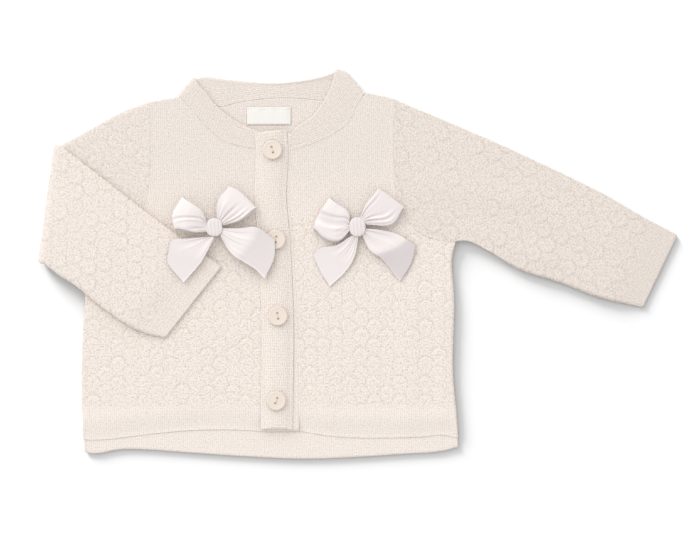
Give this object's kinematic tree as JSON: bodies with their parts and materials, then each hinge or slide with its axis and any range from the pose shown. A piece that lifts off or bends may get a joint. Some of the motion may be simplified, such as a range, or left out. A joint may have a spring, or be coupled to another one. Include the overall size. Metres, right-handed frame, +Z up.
{
  "type": "baby cardigan",
  "caption": "Round-necked knitted baby cardigan laid flat, one sleeve folded over the front, with a buttoned front band and satin ribbon bows.",
  "frame": {"origin": "under the middle of the back panel, on the flat face that rests on the surface", "axes": "+X to the right as seen from above, along the stretched sleeve; +Y towards the collar; +Z up, away from the surface"},
  "size_m": [0.3997, 0.2421, 0.016],
  "materials": {
    "knit": "matte",
    "satin": "satin",
    "button": "gloss",
    "label": "satin"
  },
  "bodies": {
    "root": {"back": "knit", "front_left": "knit", "front_right": "knit", "sleeve_left": "knit", "sleeve_right": "knit", "neckband_left": "knit", "neckband_right": "knit", "neckband_back": "knit", "buttonhole_band": "knit", "button_band": "knit", "button_1": "button", "button_2": "button", "button_3": "button", "button_4": "button", "bow_left_knot": "satin", "bow_left_loop_1": "satin", "bow_left_loop_2": "satin", "bow_left_tail_1": "satin", "bow_left_tail_2": "satin", "bow_right_knot": "satin", "bow_right_loop_1": "satin", "bow_right_loop_2": "satin", "bow_right_tail_1": "satin", "bow_right_tail_2": "satin", "label": "label"}
  },
  "joints": []
}
